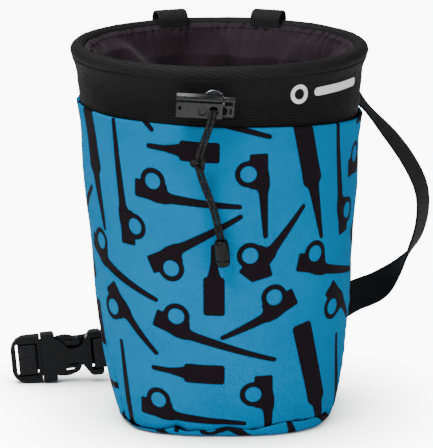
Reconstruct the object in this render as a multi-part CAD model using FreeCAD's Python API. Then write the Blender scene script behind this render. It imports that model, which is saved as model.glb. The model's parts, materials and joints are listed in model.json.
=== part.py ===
"""Climbing chalk bag: a stiff-rimmed fabric pot with a drawcord closure, a spring cord
lock, two belt loops and a webbing waist belt with a side-release buckle.

Frame: origin at the centre of the base, +Z up, front of the bag towards -Y.
Every horizontal section of the bag is an ellipse. It is built round, as a turned
profile, and then flattened front to back by DEPTH_RATIO.
"""
import FreeCAD, Part
import math
import os

from FreeCAD import Matrix, Placement, Rotation, Vector

# ---------------------------------------------------------------- driving dimensions
RIM_RADIUS = 66.4          # half width of the bag at the centre of the rim tube
RIM_HEIGHT = 175.7         # height of the centre of the rim tube
RIM_TUBE_R = 3.5           # outer radius of the binding round the rim hoop
DEPTH_RATIO = 0.937        # depth of the bag divided by its width
SHELL_TOP = 151.0          # top hem of the printed shell
SHELL_CLOTH = 1.2
COLLAR_CLOTH = 1.3
LINING_CLOTH = 1.3
WALL_GAP = 0.15            # air between two layers sewn into one wall
WEBBING_WIDTH = 15.0
WEBBING_THICK = 1.3
CORD_D = 1.7               # one strand of the drawcord

# Outer half width of the printed shell against height.
SHELL_PROFILE = [(51.2, 1.8), (53.2, 9.0), (57.6, 31.0), (61.3, 80.0), (65.2, 140.0), (67.3, SHELL_TOP)]
# Outer half width of the lining, which keeps clear of the shell and of the collar.
LINING_PROFILE = [(49.4, 3.4), (51.2, 9.0), (55.7, 31.0), (59.4, 80.0), (62.5, 140.0), (64.2, 170.5)]

# Cord lock: its frame has its origin on the axis of the cord hole, X along the housing.
LOCK_PLACE = Vector(-2.6, -69.0, 160.4)
LOCK_TILT = 3.0
LOCK_DEPTH = 5.5
LOCK_LEFT, LOCK_RIGHT = -17.0, 4.0
CORD_HOLE_R = 2.3
BARREL_Z, BARREL_R, BARREL_BORE_R = 5.2, 2.3, 1.65
SPARE_HOLE_OFFSET = 5.0    # the second, empty cord hole beside the first
PLUNGER_ROD_R = 1.4
PLUNGER_LEFT = -8.0
PLUNGER_TRAVEL = 4.0

# Eyelet in the collar, level with the top of the cord lock.
EYELET_Z, EYELET_R, EYELET_HOLE_R = 163.6, 5.2, 2.7

# Buckle: its frame has its origin at the mouth of the female half, X towards the
# female end, Y through its thickness and Z across the webbing.
BUCKLE_PLACE = Vector(-87.0, 49.1, 12.2)
BUCKLE_RISE = 5.0
BUCKLE_YAW = 4.0
BUCKLE_HALF_HEIGHT = 12.0
MOUTH_LENGTH = 7.0
FEMALE_LENGTH = 30.0
FEMALE_HALF_THICK = 3.5
CAVITY_HALF_THICK = 1.9
FRAME_LENGTH = 15.0
FRAME_HALF_THICK = 2.9
PRONG_HALF_THICK = 1.7
SLOT_HALF_HEIGHT = 8.2

# Belt loops: distance of each loop's middle from the centre plane.
LOOP_OFFSET = 24.0

TOLERANCE = 1e-6


# ---------------------------------------------------------------- shared construction
def save(name, shape):
    """Write one node and report whether its solids are sound."""
    if not shape.isValid() or shape.Volume <= 0:
        raise RuntimeError(name + " is not a sound solid")
    shape.exportStep("parts/" + name + ".step")
    print(f"{name:26s} solids {len(shape.Solids)}  volume {shape.Volume:9.1f} mm3")


def flatten(shape):
    """Turn round sections into the bag's ellipses."""
    squash = Matrix()
    squash.A22 = DEPTH_RATIO
    return shape.transformGeometry(squash)


def block(low, high):
    size = Vector(*high) - Vector(*low)
    return Part.makeBox(size.x, size.y, size.z, Vector(*low))


def rod(start, end, radius):
    axis = Vector(*end) - Vector(*start)
    return Part.makeCylinder(radius, axis.Length, Vector(*start), axis)


def corner(before, point, after, radius):
    """Tangent points and middle of the arc that rounds one corner."""
    back = (before - point).normalize()
    ahead = (after - point).normalize()
    half_turn = (math.pi - back.getAngle(ahead)) / 2
    reach = radius * math.tan(half_turn)
    inward = (back + ahead).normalize()
    middle = point + inward * (radius / math.cos(half_turn) - radius)
    return point + back * reach, middle, point + ahead * reach


def rounded_path(points, radii):
    """Open path of straight runs joined by tangent arcs, one radius for each inner point."""
    edges = []
    start = points[0]
    for i, radius in enumerate(radii, start=1):
        arc_start, middle, arc_end = corner(points[i - 1], points[i], points[i + 1], radius)
        edges.append(Part.LineSegment(start, arc_start).toShape())
        edges.append(Part.Arc(arc_start, middle, arc_end).toShape())
        start = arc_end
    edges.append(Part.LineSegment(start, points[-1]).toShape())
    return Part.Wire(edges)


def rounded_outline(corners):
    """Closed outline in the XZ plane from corners (x, z, radius)."""
    points = [Vector(x, 0, z) for x, z, _ in corners]
    arcs = []
    for i, (_, _, radius) in enumerate(corners):
        if radius:
            arcs.append(corner(points[i - 1], points[i], points[(i + 1) % len(points)], radius))
        else:
            arcs.append((points[i], None, points[i]))
    edges = []
    for i, (arc_start, middle, arc_end) in enumerate(arcs):
        if middle is not None:
            edges.append(Part.Arc(arc_start, middle, arc_end).toShape())
        next_start = arcs[(i + 1) % len(arcs)][0]
        if (next_start - arc_end).Length > TOLERANCE:
            edges.append(Part.LineSegment(arc_end, next_start).toShape())
    return Part.Wire(edges)


def plate(corners, y_low, y_high):
    """Flat plate with a rounded outline in XZ, between two depths."""
    face = Part.Face(rounded_outline(corners))
    face.translate(Vector(0, y_low, 0))
    return face.extrude(Vector(0, y_high - y_low, 0))


def mirrored(corners):
    """Complete an upper half outline, listed from left to right, with its lower half."""
    return corners + [(x, -z, radius) for x, z, radius in reversed(corners)]


def sweep(path, profile):
    return path.makePipeShell([profile], True, True)


def cord_tube(name, points, diameter):
    """Round tube along a cord's route, with every arc as large as its two runs allow."""
    runs = [(b - a).Length for a, b in zip(points, points[1:])]
    radii = []
    for i in range(1, len(points) - 1):
        turn = (points[i] - points[i - 1]).getAngle(points[i + 1] - points[i])
        radii.append(0.45 * min(runs[i - 1], runs[i]) / math.tan(turn / 2))
    path = rounded_path(points, radii)
    profile = Part.Wire(Part.makeCircle(diameter / 2, points[0], points[1] - points[0]))
    tube = sweep(path, profile)
    expected = math.pi * (diameter / 2) ** 2 * path.Length
    print(f"{name}: length {path.Length:.1f} mm, radii {[round(r, 1) for r in radii]}, "
          f"volume / expected {tube.Volume / expected:.3f}")
    return tube


def strip(points, radius, width, thickness, along):
    """Flat strip of webbing bent about the direction `along`, with equal bend radii."""
    path = rounded_path(points, [radius] * (len(points) - 2))
    heading = (points[1] - points[0]).normalize()
    across = along.normalize()
    normal = heading.cross(across)
    corners = [
        points[0] + across * (side * width / 2) + normal * (face * thickness / 2)
        for side, face in ((-1, -1), (1, -1), (1, 1), (-1, 1), (-1, -1))
    ]
    return sweep(path, Part.makePolygon(corners))


# ---------------------------------------------------------------- the fabric pot
def turned_wall(profile, thickness):
    """Layer of cloth turned about Z; the profile gives the radius of its outer face."""
    outer = Part.BSplineCurve()
    outer.interpolate([Vector(r, 0, z) for r, z in profile])
    inner = outer.copy()
    inner.translate(Vector(-thickness, 0, 0))
    joins = [
        Part.LineSegment(curve_end, curve_end - Vector(thickness, 0, 0))
        for curve_end in (outer.StartPoint, outer.EndPoint)
    ]
    wire = Part.Wire(Part.__sortEdges__([curve.toShape() for curve in (outer, inner, *joins)]))
    return Part.Face(wire).revolve(Vector(0, 0, 0), Vector(0, 0, 1), 360)


def eyelet_hole(radius):
    """Round hole through the front of the wall for the closure cord."""
    return rod((LOCK_PLACE.x, -100, EYELET_Z), (LOCK_PLACE.x, 0, EYELET_Z), radius)


def disc(radius, z_low, thickness, edge):
    body = Part.makeCylinder(radius, thickness, Vector(0, 0, z_low))
    return body.makeFillet(edge, body.Edges)


def shell_panels():
    whole = turned_wall(SHELL_PROFILE, SHELL_CLOTH)
    front = block((-100, -100, 0), (100, -WALL_GAP / 2, 200))
    back = block((-100, WALL_GAP / 2, 0), (100, 100, 200))
    save("shell_front_panel", flatten(whole.common(front)))
    save("shell_back_panel", flatten(whole.common(back)))


def base_panels():
    # The flattened disc is cut off level at z = 0, so that the bag stands on a true plane.
    whole = flatten(disc(51.0, -0.3, 1.9, 0.6))
    save("base_panel", whole.cut(block((-100, -100, -10), (100, 100, 0))))
    save("lining_base", flatten(disc(48.2, 1.8, 1.4, 0.3)))


def collar_layers():
    """Collar cloth, the stiffening band behind it, the lining and the closure sleeve."""
    hole = eyelet_hole(3.2)
    collar = turned_wall([(64.5, 145.5), (65.75, 151.0), (67.1, 172.0)], COLLAR_CLOTH)
    save("collar_band", flatten(collar.cut(hole)))
    stiffener = turned_wall([(64.1, 151.5), (65.3, 170.5)], 0.7)
    save("collar_stiffener", flatten(stiffener.cut(hole)))
    lining = turned_wall(LINING_PROFILE, LINING_CLOTH)
    save("lining_wall", flatten(lining.cut(hole)))
    sleeve = turned_wall([(60.7, 140.0), (62.2, 169.0)], 0.9)
    save("closure_sleeve", flatten(sleeve.cut(hole)))
    hem_cord = Part.makeTorus(58.2, CORD_D / 2, Vector(0, 0, EYELET_Z - 2.5))
    save("sleeve_drawcord", flatten(hem_cord))


def rim():
    """Plastic hoop and the cloth binding wrapped round it, open along its underside."""
    save("rim_hoop", flatten(Part.makeTorus(RIM_RADIUS, 2.2, Vector(0, 0, RIM_HEIGHT))))
    centre = Vector(RIM_RADIUS, 0, RIM_HEIGHT)
    mouth = math.radians(40)

    def ring_point(radius, angle):
        return centre + Vector(radius * math.sin(angle), 0, -radius * math.cos(angle))

    outer_r, inner_r = RIM_TUBE_R, RIM_TUBE_R - 1.1
    ends = (mouth, math.pi, 2 * math.pi - mouth)
    outer = [ring_point(outer_r, angle) for angle in ends]
    inner = [ring_point(inner_r, angle) for angle in ends]
    wire = Part.Wire([
        Part.Arc(outer[0], outer[1], outer[2]).toShape(),
        Part.LineSegment(outer[2], inner[2]).toShape(),
        Part.Arc(inner[2], inner[1], inner[0]).toShape(),
        Part.LineSegment(inner[0], outer[0]).toShape(),
    ])
    binding = Part.Face(wire).revolve(Vector(0, 0, 0), Vector(0, 0, 1), 360)
    save("rim_binding", flatten(binding))


# ---------------------------------------------------------------- eyelet and cord lock
def eyelet():
    """Flanged tube through the collar and the washer that clinches it inside."""
    x, z = LOCK_PLACE.x, EYELET_Z
    bore = rod((x, -70, z), (x, -50, z), EYELET_HOLE_R)
    flange = rod((x, -63.9, z), (x, -63.1, z), EYELET_R)
    flange = flange.makeFillet(0.35, [flange.Edges[0], flange.Edges[2]])
    tube = rod((x, -63.5, z), (x, -57.6, z), 3.05)
    save("eyelet_flange", flange.fuse(tube).cut(bore).removeSplitter())
    washer = rod((x, -56.5, z), (x, -55.8, z), 4.6)
    save("eyelet_washer", washer.cut(bore))


def lock_frame(shape):
    """Move a shape from the cord lock's own frame to its place on the bag."""
    place = Placement(LOCK_PLACE, Rotation(Vector(0, 1, 0), LOCK_TILT))
    shape.Placement = place.multiply(shape.Placement)
    return shape


def lock_housing():
    half = LOCK_DEPTH / 2
    body_top = 3.6
    body = plate([
        (LOCK_LEFT, -3.4, 0.6), (LOCK_RIGHT, -3.4, 0.6), (LOCK_RIGHT, body_top, 0), (LOCK_LEFT, body_top, 0),
    ], -half, half)
    barrel = rod((LOCK_LEFT, 0, BARREL_Z), (LOCK_RIGHT, 0, BARREL_Z), BARREL_R)
    housing = body.fuse(barrel)
    cavity = block((PLUNGER_LEFT - PLUNGER_TRAVEL - 0.4, -1.35, -2.75), (LOCK_RIGHT + 1, 1.35, 2.75))
    bore = rod((LOCK_LEFT + 1.2, 0, BARREL_Z), (LOCK_RIGHT + 1, 0, BARREL_Z), BARREL_BORE_R)
    housing = housing.cut(cavity).cut(bore)
    for x in (0.0, -SPARE_HOLE_OFFSET):
        housing = housing.cut(rod((x, -5, 0), (x, 5, 0), CORD_HOLE_R))
    housing = housing.cut(block((-16.0, -5, 0.2), (-14.7, 5, 1.7)))
    save("cord_lock_housing", lock_frame(housing.removeSplitter()))


def lock_plunger():
    """Push button: a slotted slide below, a spring-loaded rod above, joined at the end."""
    slide = plate([
        (PLUNGER_LEFT, -2.6, 0.4), (9.3, -2.6, 0.4), (9.3, 2.6, 0.4), (PLUNGER_LEFT, 2.6, 0.4),
    ], -1.2, 1.2)
    slot_left, slot_right = -CORD_HOLE_R, CORD_HOLE_R + PLUNGER_TRAVEL
    slot = plate([
        (slot_left, -2.0, 1.9), (slot_right, -2.0, 1.9), (slot_right, 2.0, 1.9), (slot_left, 2.0, 1.9),
    ], -3, 3)
    stem = rod((-5.0, 0, BARREL_Z), (9.6, 0, BARREL_Z), PLUNGER_ROD_R)
    stem = stem.makeFillet(0.3, [edge for edge in stem.Edges if edge.CenterOfMass.x > 9])
    web = block((8.5, -0.9, 2.0), (9.3, 0.9, BARREL_Z))
    window = block((7.2, -3, -1.3), (8.2, 3, 1.3))
    button = slide.cut(slot).cut(window).fuse(stem).fuse(web)
    save("cord_lock_plunger", lock_frame(button.removeSplitter()))


def lock_spring():
    """Compression spring in the barrel behind the plunger rod."""
    wire_r, coil_r, pitch = 0.22, 1.25, 1.25
    start, length = LOCK_LEFT + 1.6, 9.8
    helix = Part.makeHelix(pitch, length, coil_r)
    profile = Part.Wire(Part.makeCircle(wire_r, Vector(coil_r, 0, 0), Vector(0, 1, 0)))
    spring = sweep(Part.Wire(helix), profile)
    spring.rotate(Vector(0, 0, 0), Vector(0, 1, 0), 90)
    spring.translate(Vector(start, 0, BARREL_Z))
    save("cord_lock_spring", lock_frame(spring))


# ---------------------------------------------------------------- drawcord
# Middle line of the two strands, from inside the lock's hole to the cord end.
HANG_ROUTE = [
    Vector(-2.6, -70.6, 160.4), Vector(-3.0, -73.6, 159.2), Vector(-4.2, -74.2, 154.6),
    Vector(-6.7, -74.0, 147.6), Vector(-8.8, -71.3, 140.9), Vector(-9.4, -68.1, 135.2),
    Vector(-8.3, -65.9, 128.6), Vector(-5.5, -64.6, 121.2), Vector(-2.7, -63.8, 113.7),
    Vector(-0.8, -63.4, 106.0), Vector(0.6, -63.1, 98.9),
]
# From the closure sleeve through the eyelet to the middle of the lock's hole.
NECK_ROUTE = [
    Vector(-2.6, -55.6, 163.2), Vector(-2.6, -60.0, 163.0), Vector(-2.6, -64.6, 162.2),
    Vector(-2.6, -67.4, 160.7), Vector(-2.6, -69.6, 160.4),
]
STRAND_OFFSET = Vector(0.95, 0, 0)
KNOT_CENTRE = HANG_ROUTE[5]
CORD_END_TOP, CORD_END_BOTTOM = Vector(0.7, -63.0, 98.4), Vector(2.0, -62.4, 85.8)
CORD_END_R = 3.4


def drawcord():
    for side, sign in (("left", -1), ("right", 1)):
        route = [point + STRAND_OFFSET * sign for point in HANG_ROUTE]
        save("drawcord_strand_" + side, cord_tube("drawcord_strand_" + side, route, CORD_D))
    necks = [
        cord_tube("drawcord_neck", [point + STRAND_OFFSET * sign for point in NECK_ROUTE], CORD_D)
        for sign in (-1, 1)
    ]
    save("drawcord_neck", Part.makeCompound(necks))


def drawcord_knot():
    """Overhand knot tied in the doubled cord, as its outer shape."""
    knot = Part.makeSphere(3.9)
    scale = Matrix()
    scale.A22, scale.A33 = 0.82, 1.05
    knot = knot.transformGeometry(scale)
    knot.translate(KNOT_CENTRE)
    save("drawcord_knot", knot)


def turned_along(profile, start, end):
    """Turn a profile of (radius, distance) about the line from start to end."""
    wire = Part.makePolygon([Vector(r, 0, z) for r, z in profile + profile[:1]])
    body = Part.Face(wire).revolve(Vector(0, 0, 0), Vector(0, 0, 1), 360)
    body.Placement = Placement(start, Rotation(Vector(0, 0, 1), end - start))
    return body


def cord_end():
    """Two-piece cord end: a sleeve that hides the cut ends and a cap pressed into it."""
    length = (CORD_END_BOTTOM - CORD_END_TOP).Length
    cap_length = 3.4
    r = CORD_END_R
    seam = length - cap_length - 0.1
    sleeve = [(1.9, 0.0), (r - 0.9, 0.0), (r - 0.3, 0.7), (r, 3.0), (r, seam), (1.9, seam)]
    save("cord_end_sleeve", turned_along(sleeve, CORD_END_TOP, CORD_END_BOTTOM))
    cap = [
        (0.0, length - cap_length), (r - 0.1, length - cap_length), (r - 0.25, length - 1.4),
        (r - 1.2, length - 0.2), (r - 1.9, length), (0.0, length),
    ]
    save("cord_end_cap", turned_along(cap, CORD_END_TOP, CORD_END_BOTTOM))


# ---------------------------------------------------------------- belt loops
def collar_normal(x, half_width):
    """Point and outward direction on the back of an ellipse of the given half width."""
    half_depth = half_width * DEPTH_RATIO
    y = half_depth * math.sqrt(1 - (x / half_width) ** 2)
    return Vector(x, y, 0), Vector(x / half_width ** 2, y / half_depth ** 2, 0).normalize()


def belt_loops():
    """Webbing loops from inside the rim, over it and down the back of the collar."""
    for side, x in (("left", -LOOP_OFFSET), ("right", LOOP_OFFSET)):
        foot, outward = collar_normal(x, RIM_RADIUS + 0.8)
        outline = [(-5.9, 169.8), (-5.9, 183.0), (4.1, 183.0), (4.1, 155.4), (1.5, 151.6)]
        points = [foot + outward * n + Vector(0, 0, z) for n, z in outline]
        path = rounded_path(points, [4.2, 4.2, 2.0])
        across = outward.cross(Vector(0, 0, 1))
        corners = [
            points[0] + across * (u * WEBBING_WIDTH / 2) + outward * (v * 0.6)
            for u, v in ((-1, -1), (1, -1), (1, 1), (-1, 1), (-1, -1))
        ]
        save("belt_loop_" + side, sweep(path, Part.makePolygon(corners)))
        tack = block((-6.5, 0, 156.0), (6.5, 0.5, 157.6))
        angle = math.degrees(math.atan2(outward.y, outward.x)) - 90
        tack.Placement = Placement(foot + outward * 4.8, Rotation(Vector(0, 0, 1), angle))
        save("loop_bartack_" + side, tack)


# ---------------------------------------------------------------- buckle
def buckle_frame(shape):
    """Move a shape from the buckle's own frame to its place beside the bag."""
    turn = Rotation(Vector(0, 0, 1), BUCKLE_YAW) * Rotation(Vector(0, 1, 0), -BUCKLE_RISE)
    shape.Placement = Placement(BUCKLE_PLACE, turn).multiply(shape.Placement)
    return shape


def buckle_female():
    """Mouth ring, two waisted plates with open sides, and the bar for the sewn webbing."""
    high = BUCKLE_HALF_HEIGHT
    thick = FEMALE_HALF_THICK
    ring = plate(mirrored([(0, high, 0.8), (MOUTH_LENGTH, high, 1.6)]), -thick, thick)
    waist = plate(mirrored([
        (5.0, 9.4, 0), (9.4, 8.6, 1.5), (13.0, 3.8, 3.5), (19.0, 3.8, 4.5), (24.0, 10.9, 3.0),
        (FEMALE_LENGTH, 10.9, 2.0),
    ]), -thick, thick)
    body = ring.fuse(waist)
    cavity_end = 20.4
    cavity = plate(mirrored([
        (-1, 9.6, 0), (MOUTH_LENGTH, 9.98, 0), (MOUTH_LENGTH, 14, 0), (cavity_end, 14, 0),
    ]), -CAVITY_HALF_THICK, CAVITY_HALF_THICK)
    slot = block((24.4, -5, -SLOT_HALF_HEIGHT), (27.4, 5, SLOT_HALF_HEIGHT))
    body = body.cut(cavity).cut(slot)
    for side in (-1, 1):
        low, up = sorted((side * 1.7, side * 5))
        body = body.cut(block((27.3, low, -SLOT_HALF_HEIGHT), (31, up, SLOT_HALF_HEIGHT)))
    save("buckle_female", buckle_frame(body.removeSplitter()))


def buckle_male():
    """Ladder frame that holds the adjustable webbing, with the guide rail of the plug."""
    frame = plate(mirrored([(-FRAME_LENGTH, 11.6, 7.5), (-0.35, 11.6, 0.8)]), -FRAME_HALF_THICK, FRAME_HALF_THICK)
    left_slot = plate(mirrored([(-12.5, SLOT_HALF_HEIGHT, 1.0), (-7.0, SLOT_HALF_HEIGHT, 0.4)]), -5, 5)
    right_slot = plate(mirrored([(-4.0, SLOT_HALF_HEIGHT, 0.4), (-1.9, SLOT_HALF_HEIGHT, 0.4)]), -5, 5)
    frame = frame.cut(left_slot).cut(right_slot)
    for side in (-1, 1):
        low, up = sorted((side * 1.5, side * 5))
        frame = frame.cut(block((-7.5, low, -SLOT_HALF_HEIGHT), (-3.5, up, SLOT_HALF_HEIGHT)))
    root = block((-1.0, -PRONG_HALF_THICK, -9.0), (1.8, PRONG_HALF_THICK, 9.0))
    rail = plate(mirrored([(1.0, 1.2, 0), (14.0, 1.2, 0.8)]), -PRONG_HALF_THICK, PRONG_HALF_THICK)
    save("buckle_male_frame", buckle_frame(frame.fuse(root).fuse(rail).removeSplitter()))


def buckle_prongs():
    """Two spring arms whose tabs bulge out of the female half's open sides."""
    outline = [
        (2.3, 5.0, 0.3), (2.3, 7.2, 0.3), (7.4, 8.0, 0), (7.5, 9.85, 0.4), (12.6, 10.2, 5.0),
        (17.6, 8.6, 3.0), (19.5, 5.9, 1.0), (18.6, 4.9, 0.4), (9.0, 5.3, 3.0),
    ]
    window = [(11.4, 6.7, 0.7), (15.6, 6.5, 0.7), (15.6, 8.0, 0.7), (11.4, 8.2, 0.7)]
    for name, sign in (("upper", 1), ("lower", -1)):
        prong = plate([(x, sign * z, r) for x, z, r in outline], -PRONG_HALF_THICK, PRONG_HALF_THICK)
        hole = plate([(x, sign * z, r) for x, z, r in window], -5, 5)
        save("buckle_prong_" + name, buckle_frame(prong.cut(hole)))


def buckle_webbing():
    """Belt end sewn round the female bar, and the free end threaded through the frame."""
    def local(outline):
        return [Vector(x, y, 0) for x, y in outline]

    across = Vector(0, 0, 1)
    fold = strip(local([
        (45.0, 0.72), (33.8, 0.72), (31.0, 2.65), (26.0, 2.65), (26.0, -2.65), (31.0, -2.65),
        (33.8, -0.72), (45.0, -0.72),
    ]), 1.2, WEBBING_WIDTH, WEBBING_THICK, across)
    save("belt_fixed_end", buckle_frame(fold))
    threaded = strip(local([
        (8.0, 6.9), (-10.9, 6.9), (-10.9, -2.5), (-3.0, -2.5), (-3.0, 5.0), (30.0, 5.0),
    ]), 1.0, WEBBING_WIDTH, WEBBING_THICK, across)
    save("belt_free_end", buckle_frame(threaded))


# ---------------------------------------------------------------- waist belt
# Stations along the belt, from the female half, round the right side, through both
# loops and down behind the bag to the male half: middle point, then width direction.
BELT_STATIONS = [
    ((-41.9, 53.0, 16.3), (-0.09, 0.0, 1.0)),
    ((-18.0, 57.6, 17.6), (-0.05, 0.0, 1.0)),
    ((8.0, 59.6, 19.0), (-0.1, 0.05, 1.0)),
    ((32.0, 58.2, 24.0), (-0.3, 0.1, 0.95)),
    ((51.0, 54.2, 33.0), (-0.5, 0.15, 0.8)),
    ((65.0, 49.5, 42.8), (-0.6, 0.25, 0.8)),
    ((77.5, 43.5, 50.0), (-0.6, 0.7, 0.5)),
    ((86.5, 38.0, 60.0), (-0.2, 1.0, 0.1)),
    ((93.8, 33.5, 73.0), (0.3, 1.0, -0.1)),
    ((97.6, 30.5, 87.0), (0.45, 1.0, 0.0)),
    ((97.2, 29.5, 101.0), (0.45, 1.0, 0.1)),
    ((91.5, 30.8, 114.0), (0.4, 1.0, 0.25)),
    ((82.0, 35.0, 127.0), (0.3, 0.9, 0.45)),
    ((69.5, 42.5, 140.0), (0.1, 0.6, 0.8)),
    ((57.0, 48.8, 149.5), (0.0, 0.25, 1.0)),
    ((44.5, 53.0, 157.5), (0.0, 0.05, 1.0)),
    ((32.8, 57.1, 161.3), (0.0, 0.0, 1.0)),
    ((24.6, 60.6, 162.5), (0.0, 0.0, 1.0)),
    ((16.4, 63.0, 162.5), (0.0, 0.0, 1.0)),
    ((0.0, 64.8, 162.5), (0.0, 0.0, 1.0)),
    ((-16.4, 63.0, 162.5), (0.0, 0.0, 1.0)),
    ((-24.6, 60.6, 162.5), (0.0, 0.0, 1.0)),
    ((-33.1, 57.0, 161.3), (0.0, 0.0, 1.0)),
    ((-41.0, 56.5, 155.5), (-0.1, 0.1, 1.0)),
    ((-46.5, 62.5, 146.0), (-0.3, 0.4, 0.8)),
    ((-48.0, 75.0, 131.0), (-0.6, 0.5, 0.5)),
    ((-46.0, 88.0, 113.0), (-0.8, 0.5, 0.2)),
    ((-43.0, 96.0, 90.0), (-0.8, 0.5, 0.0)),
    ((-41.5, 96.5, 66.0), (-0.8, 0.5, -0.1)),
    ((-41.5, 91.0, 44.0), (-0.7, 0.5, -0.4)),
    ((-45.0, 81.0, 27.0), (-0.4, 0.5, -0.7)),
    ((-53.0, 70.0, 17.0), (-0.1, 0.3, -1.0)),
    ((-65.0, 61.2, 13.8), (0.05, 0.0, -1.0)),
    ((-78.2, 56.7, 13.1), (0.09, 0.0, -1.0)),
]


def belt_middle_line():
    """Smooth line through the belt's stations."""
    line = Part.BSplineCurve()
    line.interpolate([Vector(*place) for place, _ in BELT_STATIONS])
    return line


def waist_belt():
    """Twisting strip of webbing, as ruled walls between cross sections of the strip."""
    line = belt_middle_line()
    directions = [Vector(*width).normalize() for _, width in BELT_STATIONS]
    knots = [line.parameter(Vector(*place)) for place, _ in BELT_STATIONS]
    steps = 3
    sections = []
    for i in range(len(knots) - 1):
        last = i == len(knots) - 2
        for step in range(steps + 1 if last else steps):
            share = step / steps
            parameter = knots[i] + (knots[i + 1] - knots[i]) * share
            point = line.value(parameter)
            heading = Vector(*line.tangent(parameter)[0])
            across = directions[i] * (1 - share) + directions[i + 1] * share
            across = (across - heading * across.dot(heading)).normalize()
            normal = heading.cross(across)
            corners = [
                point + across * (u * WEBBING_WIDTH / 2) + normal * (v * WEBBING_THICK / 2)
                for u, v in ((-1, -1), (1, -1), (1, 1), (-1, 1), (-1, -1))
            ]
            sections.append(Part.makePolygon(corners))
    belt = Part.makeLoft(sections, True, True)
    print(f"waist_belt: length {line.length():.0f} mm")
    save("waist_belt", belt)


def main():
    os.makedirs("parts", exist_ok=True)
    shell_panels()
    base_panels()
    collar_layers()
    rim()
    eyelet()
    lock_housing()
    lock_plunger()
    lock_spring()
    drawcord()
    drawcord_knot()
    cord_end()
    belt_loops()
    buckle_female()
    buckle_male()
    buckle_prongs()
    buckle_webbing()
    waist_belt()


main()
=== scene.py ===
import json
import math

import bmesh
import bpy
import numpy as np
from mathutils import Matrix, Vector, noise


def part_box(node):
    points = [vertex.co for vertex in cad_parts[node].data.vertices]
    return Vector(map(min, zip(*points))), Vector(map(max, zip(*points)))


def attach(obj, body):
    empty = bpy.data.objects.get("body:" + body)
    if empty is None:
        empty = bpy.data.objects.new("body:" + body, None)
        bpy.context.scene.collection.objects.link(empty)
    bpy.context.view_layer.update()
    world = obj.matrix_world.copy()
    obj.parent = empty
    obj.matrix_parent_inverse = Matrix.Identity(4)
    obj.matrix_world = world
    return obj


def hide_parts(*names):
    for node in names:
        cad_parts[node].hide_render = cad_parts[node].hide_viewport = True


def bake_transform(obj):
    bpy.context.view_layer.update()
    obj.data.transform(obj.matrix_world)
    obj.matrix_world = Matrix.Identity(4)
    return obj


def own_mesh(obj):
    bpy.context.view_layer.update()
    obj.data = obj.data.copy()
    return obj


# Looks of the climbing chalk bag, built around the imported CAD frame.
#
# Shapes are worked out in millimetres in the CAD frame (+Z up, front towards -Y) and are
# turned into metres where a mesh is made.
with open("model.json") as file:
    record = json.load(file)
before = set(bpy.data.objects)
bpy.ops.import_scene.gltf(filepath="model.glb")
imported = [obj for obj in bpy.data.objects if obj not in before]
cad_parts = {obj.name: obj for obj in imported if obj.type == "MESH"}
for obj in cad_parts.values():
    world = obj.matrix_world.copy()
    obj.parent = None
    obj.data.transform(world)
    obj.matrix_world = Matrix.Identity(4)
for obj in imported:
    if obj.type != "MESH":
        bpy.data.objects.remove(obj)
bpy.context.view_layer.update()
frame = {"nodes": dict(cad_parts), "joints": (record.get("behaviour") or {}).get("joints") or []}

MM = 0.001
UP = np.array([0.0, 0.0, 1.0])


def node_box(name):
    """Lowest and highest corner of a CAD node in millimetres."""
    low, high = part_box(name)
    return np.array(low) / MM, np.array(high) / MM


# ---------------------------------------------------------------- driving dimensions (mm)
RIM_HIGH = node_box("rim_binding")[1]
SHELL_TOP = node_box("shell_front_panel")[1][2]
RIM_TUBE_R = 3.5
RIM_HALF_WIDTH = RIM_HIGH[0] - RIM_TUBE_R
RIM_HEIGHT = RIM_HIGH[2] - RIM_TUBE_R
DEPTH_RATIO = (RIM_HIGH[1] - 3.3) / RIM_HALF_WIDTH
WEBBING_WIDTH = 15.0
WEBBING_THICK = 1.3
CORD_D = 1.7
LOOP_OFFSET = 24.0

# Half width of the printed shell against height, and how square its corners are there.
SHELL_HEIGHTS = [0.0, 4.5, 9.0, 20.0, 31.0, 55.0, 80.0, 110.0, 140.0, 151.0]
SHELL_WIDTHS = [48.7, 51.3, 52.8, 55.7, 57.6, 59.8, 61.3, 63.6, 65.4, 67.2]
SHELL_SQUARENESS = [2.8, 2.75, 2.7, 2.5, 2.38, 2.25, 2.12, 2.05, 2.0, 2.0]
BASE_DRIFT = 3.2           # the base stands this far to the right of the rim


# ---------------------------------------------------------------- shader helpers
def set_inputs(tree, node, inputs):
    """Give sockets, by name or place, a number, colour, vector or another node's output."""
    for key, value in inputs.items():
        if isinstance(value, Num):
            value = value.source
        if isinstance(value, bpy.types.NodeSocket):
            tree.links.new(value, node.inputs[key])
        else:
            node.inputs[key].default_value = value


def add_node(tree, kind, inputs=None, **settings):
    node = tree.nodes.new("ShaderNode" + kind)
    for key, value in settings.items():
        setattr(node, key, value)
    set_inputs(tree, node, inputs or {})
    return node


class Num:
    """A shader value that builds Math nodes when it is used in a formula."""

    def __init__(self, tree, source):
        self.tree, self.source = tree, source

    def math(self, operation, *others):
        node = add_node(self.tree, "Math", dict(enumerate((self, *others))), operation=operation)
        return Num(self.tree, node.outputs[0])

    def __neg__(self):
        return self.math("MULTIPLY", -1.0)

    def smooth_low(self, other, reach):
        return self.math("SMOOTH_MIN", other, reach)

    def clamp(self):
        return self.high(0.0).low(1.0)


for method, operation in (
    ("__add__", "ADD"), ("__sub__", "SUBTRACT"), ("__mul__", "MULTIPLY"), ("__truediv__", "DIVIDE"),
    ("low", "MINIMUM"), ("high", "MAXIMUM"), ("__abs__", "ABSOLUTE"), ("sin", "SINE"),
    ("floor", "FLOOR"), ("fraction", "FRACT"),
):
    setattr(Num, method, lambda self, *others, operation=operation: self.math(operation, *others))


def length(x, y):
    return (x * x + y * y).math("SQRT")


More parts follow.
